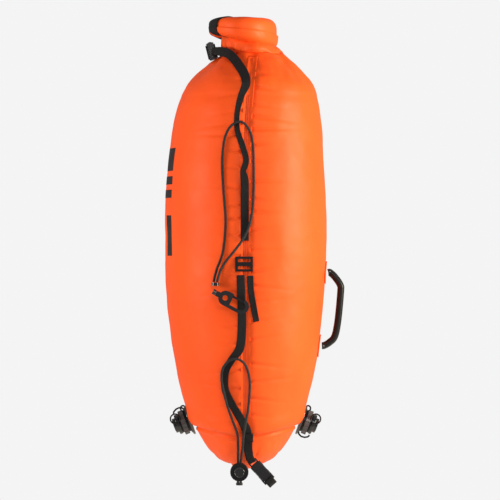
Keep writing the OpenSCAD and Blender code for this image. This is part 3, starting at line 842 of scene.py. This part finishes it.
ink = piece("generic_print", *make_print(), INK, "dark_print")
ink_solid = ink.modifiers.new("thickness", "SOLIDIFY")
ink_solid.thickness = 0.15 * MM

# ---- valve details ---------------------------------------------------------------------
VALVE_Z, VALVE_TILT = -596, math.radians(21)


def valve_frame(side):
    axis = Vector((side * math.cos(VALVE_TILT), 0, -math.sin(VALVE_TILT)))
    out = Vector((side * math.sin(VALVE_TILT), 0, math.cos(VALVE_TILT)))
    return Vector((side * (half_t(VALVE_Z) + 0.3), 0, VALVE_Z)), axis, out, Vector((0, 1, 0))


def torus(name, centre, axis, radius, thick, material, slot_name, body=BAG, lumps=0):
    """A ring, with moulded lumps when asked for."""
    axis = axis.normalized()
    side = axis.orthogonal().normalized()
    other = axis.cross(side)
    n, m = 72, 14
    verts = []
    for i in range(n):
        a = 2 * math.pi * i / n
        d = side * math.cos(a) + other * math.sin(a)
        grow = 1 + 0.12 * math.sin(lumps * a) if lumps else 1
        for j in range(m):
            b = 2 * math.pi * j / m
            verts.append(centre + d * (radius + thick * grow * math.cos(b)) + axis * thick * math.sin(b))
    faces = [
        (i * m + j, i * m + (j + 1) % m, (i + 1) % n * m + (j + 1) % m, (i + 1) % n * m + j)
        for i in range(n)
        for j in range(m)
    ]
    return piece(name, verts, faces, material, slot_name, body)


for side, label in ((-1, "left"), (1, "right")):
    base, axis, out, across = valve_frame(side)
    torus(label + "_flange_bead", base + axis * 2.2, axis, 20.6, 1.0, FLANGE, "clear_flange")
    torus(label + "_weld_line", base + axis * 2.5, axis, 17.2, 0.45, FLANGE, "clear_flange")
    torus(label + "_cap_rim", base + axis * 21.0, axis, 13.4, 0.9, GLOSS, "gloss_black", label + "_cap", 24)
    torus(label + "_cap_top_ring", base + axis * 26.0, axis, 7.6, 0.9, BLACK, "black_plastic", label + "_cap")
    loop_at = base + axis * 20.5 + out * 10 - across * 17.5
    torus(label + "_tether_loop", loop_at, across, 7.2, 1.1, RUBBER, "black_rubber")
    eye_at = base + axis * 4.5 + out * 20
    torus(label + "_tether_eye", eye_at, across + axis * 0.4, 4.0, 1.2, RUBBER, "black_rubber")

# ---- cord lock and buckle details ---------------------------------------------------------
LOCK_AXIS = Vector((0, 1, 0))
for k in (-9, -3, 3, 9):
    torus("cord_lock_rib_%d" % (k + 10), lock_at + LOCK_AXIS * k, LOCK_AXIS, LOCK_D / 2 - 0.2, 0.7,
          BLACK, "black_plastic")
torus("cord_lock_button_rim", lock_at - LOCK_AXIS * 15.6, LOCK_AXIS, 6.8, 0.7,
      GLOSS, "black_plastic", "lock_button")
for glossy in ("roll_buckle_socket", "roll_buckle_plug", "waist_buckle_socket", "waist_buckle_plug",
               "cord_lock_button"):
    frame["nodes"][glossy].data.materials[0] = GLOSS

# The spring in the cord lock, swept as one coil of fixed length; the real spring shortens as the button goes
# in
SPRING_R, WIRE_R, SPRING_TURNS = 5, 0.45, 3
SPRING_LO, SPRING_HI = -9.8, -5.1
coil_steps = 90
coil = []
for i in range(coil_steps + 1):
    a = 2 * math.pi * SPRING_TURNS * i / coil_steps
    along = SPRING_LO + 0.5 + (SPRING_HI - SPRING_LO - 1) * i / coil_steps
    coil.append(lock_at + Vector((SPRING_R * math.cos(a), -along, SPRING_R * math.sin(a))))
wire_turns = [2 * math.pi * j / 10 for j in range(10)]
wire = [(WIRE_R * math.cos(b), WIRE_R * math.sin(b)) for b in wire_turns]
spring = sweep("cord_lock_coil", coil, lambda i: wire, STEEL, "spring_steel", LOCK_AXIS)
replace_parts(spring, "cord_lock_spring")
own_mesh(spring)

# ---- floor, world and lamps ------------------------------------------------------------
BACKDROP = 0.905


def backdrop_material():
    m = Nodes("pale_floor")
    m.set(Roughness=0.8)
    m.colour(m.ramp(m.noise(3), (0.78, 0.78, 0.78, 1), (0.82, 0.82, 0.82, 1)))
    return m.mat


bpy.ops.mesh.primitive_plane_add(size=4, location=(0, 0, CAD_LO.z - 0.42))
floor = bpy.context.object
floor.name = "floor"
floor.data.materials.append(backdrop_material())

world = bpy.data.worlds.new("studio")
bpy.context.scene.world = world
world.use_nodes = True
wt = world.node_tree
background = wt.nodes["Background"]
background.inputs["Color"].default_value = (1.0, 0.96, 0.93, 1)
background.inputs["Strength"].default_value = 0.3
white = wt.nodes.new("ShaderNodeBackground")
white.inputs["Color"].default_value = (BACKDROP, BACKDROP, BACKDROP, 1)
path_node = wt.nodes.new("ShaderNodeLightPath")
mix = wt.nodes.new("ShaderNodeMixShader")
wt.links.new(path_node.outputs["Is Camera Ray"], mix.inputs["Fac"])
wt.links.new(background.outputs["Background"], mix.inputs[1])
wt.links.new(white.outputs["Background"], mix.inputs[2])
wt.links.new(mix.outputs["Shader"], wt.nodes["World Output"].inputs["Surface"])


def lamp(name, place, size, power, tint=(1, 1, 1)):
    data = bpy.data.lights.new(name, "AREA")
    data.size = size
    data.energy = power
    data.color = tint
    obj = bpy.data.objects.new(name, data)
    bpy.context.scene.collection.objects.link(obj)
    obj.location = CENTRE + Vector(place)
    obj.rotation_euler = (CENTRE - obj.location).to_track_quat("-Z", "Y").to_euler()


lamp("front_fill", (0.5, -2.6, 0.9), 1.0, 19, (1.0, 0.97, 0.92))
lamp("left_side", (-2.0, -0.7, 0.2), 0.6, 30, (1.0, 0.93, 0.82))
lamp("right_side", (1.9, -0.5, 0.3), 0.6, 74, (1.0, 0.9, 0.7))
bpy.context.scene.view_settings.view_transform = "Standard"
